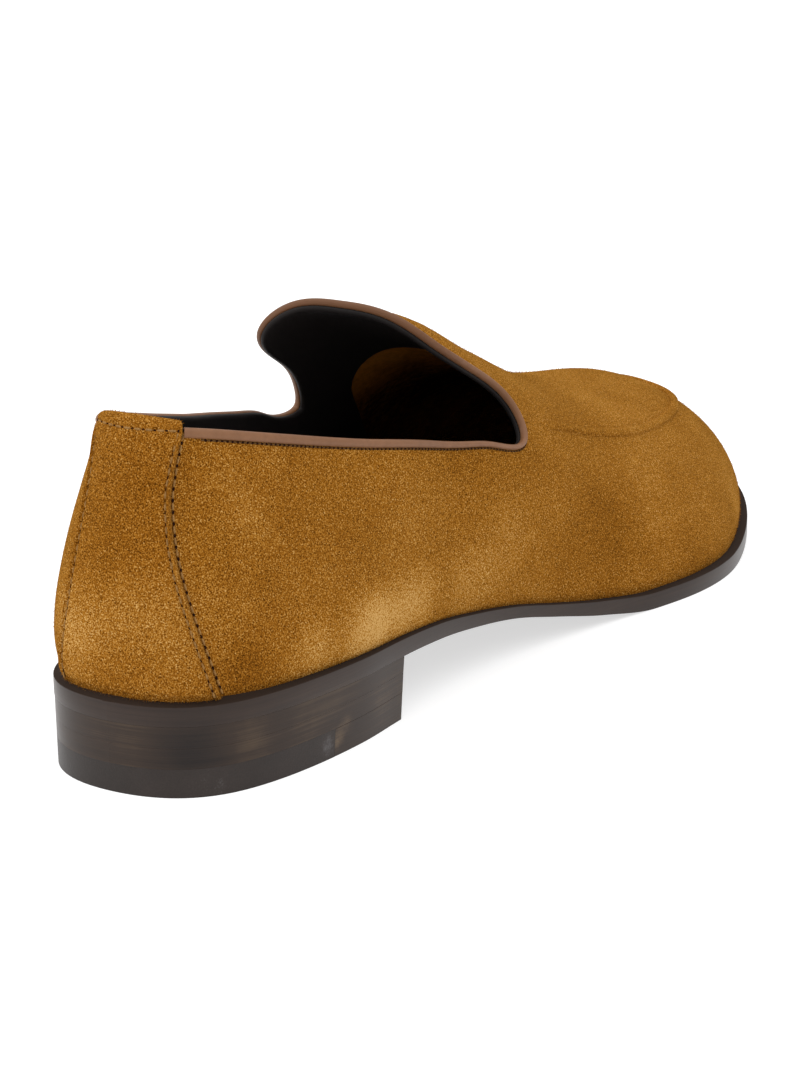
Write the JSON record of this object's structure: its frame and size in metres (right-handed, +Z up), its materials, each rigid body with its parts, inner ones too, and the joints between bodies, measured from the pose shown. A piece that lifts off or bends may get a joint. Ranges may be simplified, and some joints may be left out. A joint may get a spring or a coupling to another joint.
{
  "type": "suede loafer",
  "caption": "Suede slip-on loafer for the right foot, with a rolled tongue, bound topline, folded-over heel counter, apron seam and a thin leather sole on a low stacked heel.",
  "frame": {"origin": "middle of the shoe's plan, on the floor it stands on", "axes": "+Y from heel to toe, +X to the outer side of the right foot, +Z up"},
  "size_m": [0.1044, 0.2957, 0.0929],
  "materials": {
    "suede": "ochre tan suede with a short nap",
    "binding": "mauve-brown smooth leather, satin",
    "lining": "near-black smooth lining leather",
    "sole_leather": "dark brown burnished sole leather",
    "heel_leather": "dark brown burnished stacked leather with fine level lines",
    "rubber": "dark grey rubber, satin"
  },
  "bodies": {
    "root": {"upper": "suede", "heel_counter": "suede", "apron_seam": "suede", "topline_binding": "binding", "insole": "lining", "outsole": "sole_leather", "heel_lift_upper": "heel_leather", "heel_lift_lower": "heel_leather", "heel_top_leather": "heel_leather", "heel_top_rubber": "rubber"}
  },
  "joints": []
}
